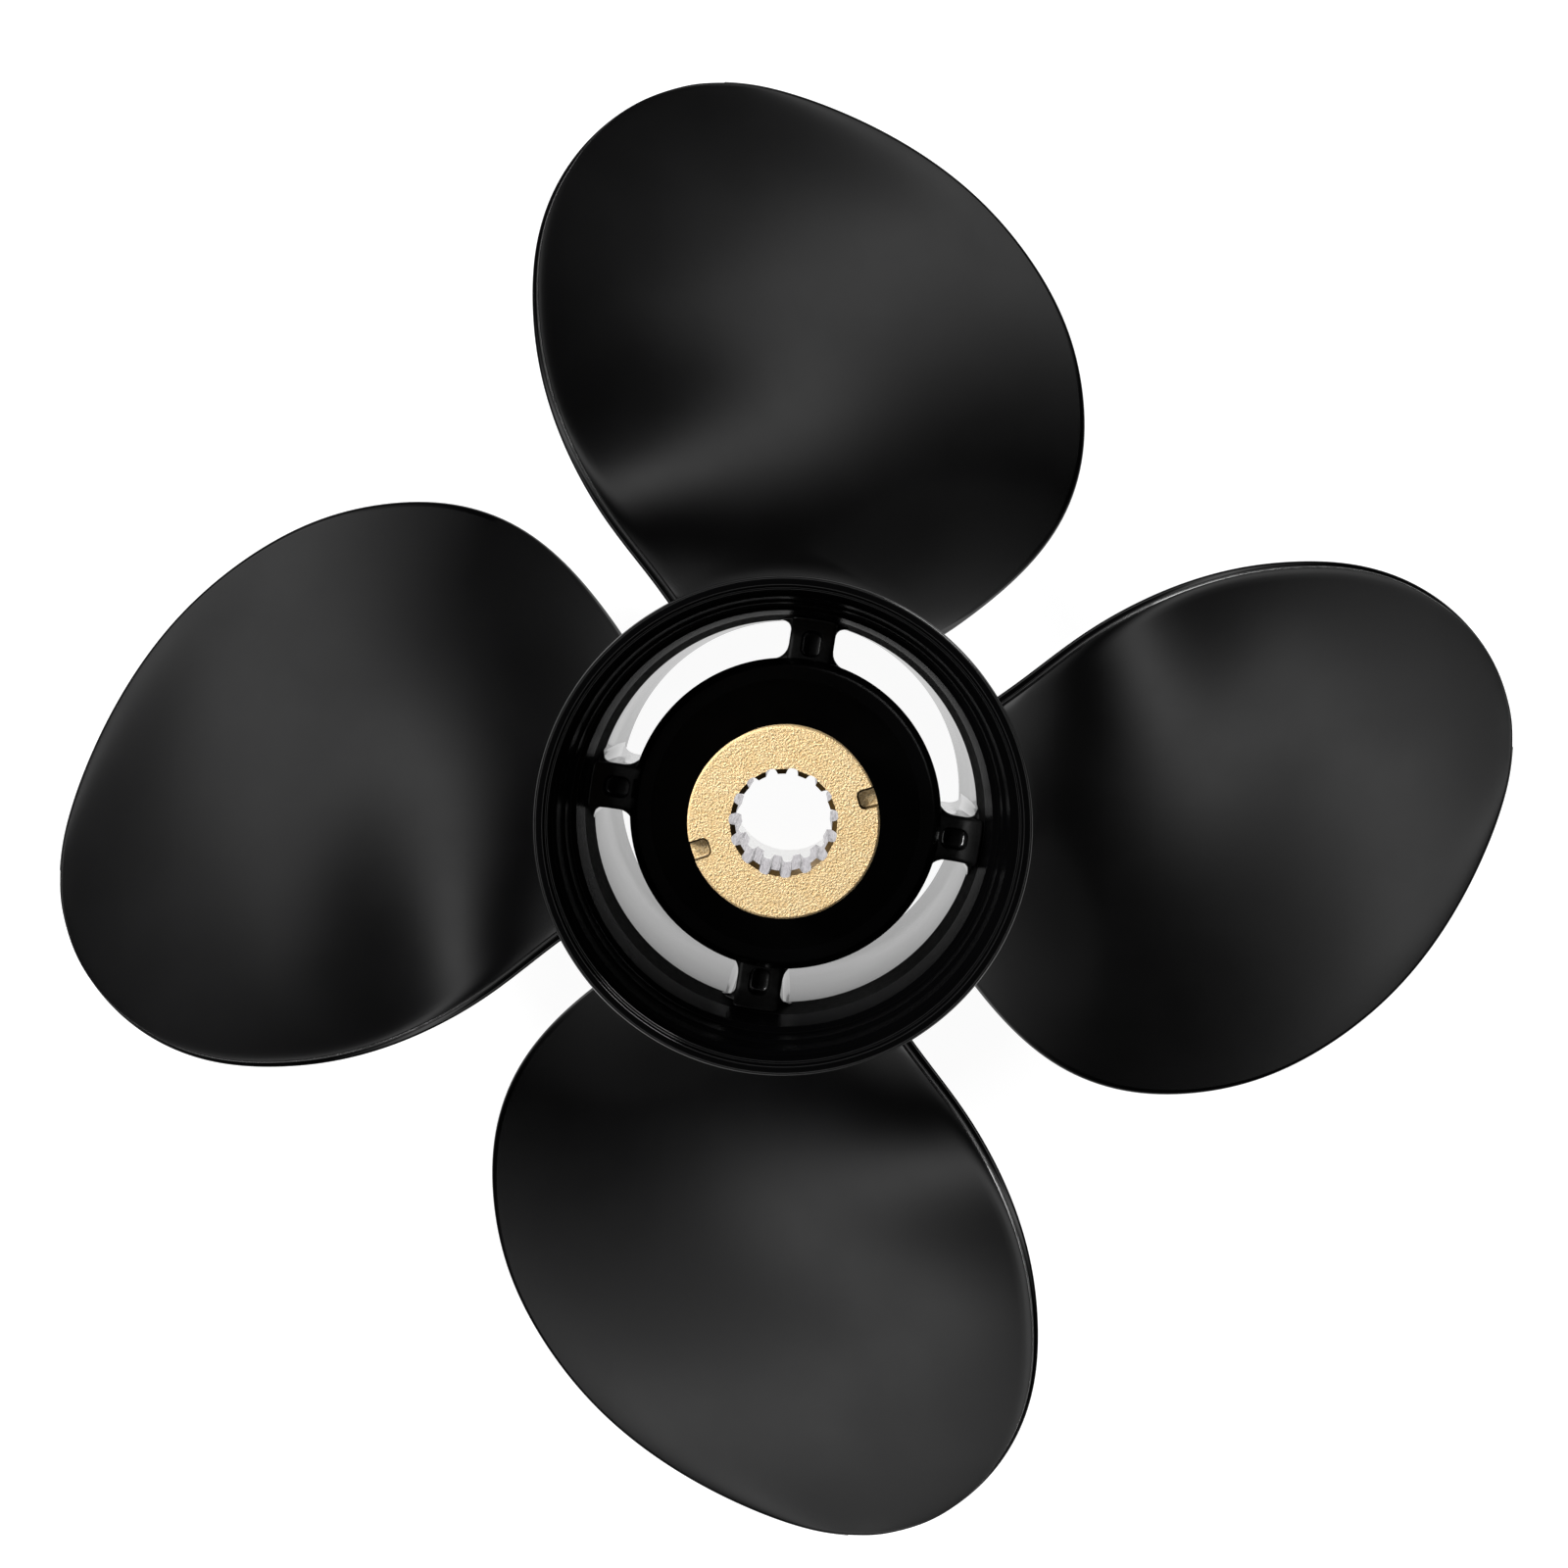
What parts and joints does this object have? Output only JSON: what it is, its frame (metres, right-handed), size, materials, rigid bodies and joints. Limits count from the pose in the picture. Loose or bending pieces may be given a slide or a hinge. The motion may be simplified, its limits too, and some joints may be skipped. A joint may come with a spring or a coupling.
{
  "type": "boat propeller",
  "caption": "Right-handed boat propeller with broad cupped blades, a through-hub exhaust barrel and a splined brass sleeve in a rubber bushing.",
  "frame": {"origin": "centre of the barrel's forward end, on the shaft axis, at the level that the propeller stands on", "axes": "+Z along the shaft axis, aft, away from the gear case; blade 1 spans about +Y"},
  "size_m": [0.3728, 0.3728, 0.128],
  "materials": {
    "black_paint": "gloss black enamel on cast aluminium",
    "rubber": "moulded black rubber",
    "brass": "sand-cast face, broached bore"
  },
  "bodies": {
    "root": {"blade_1": "black_paint", "blade_2": "black_paint", "blade_3": "black_paint", "blade_4": "black_paint", "outer_barrel": "black_paint", "inner_barrel": "black_paint", "rib_1": "black_paint", "rib_2": "black_paint", "rib_3": "black_paint", "rib_4": "black_paint", "rubber_bushing": "rubber", "brass_sleeve": "brass"}
  },
  "joints": []
}
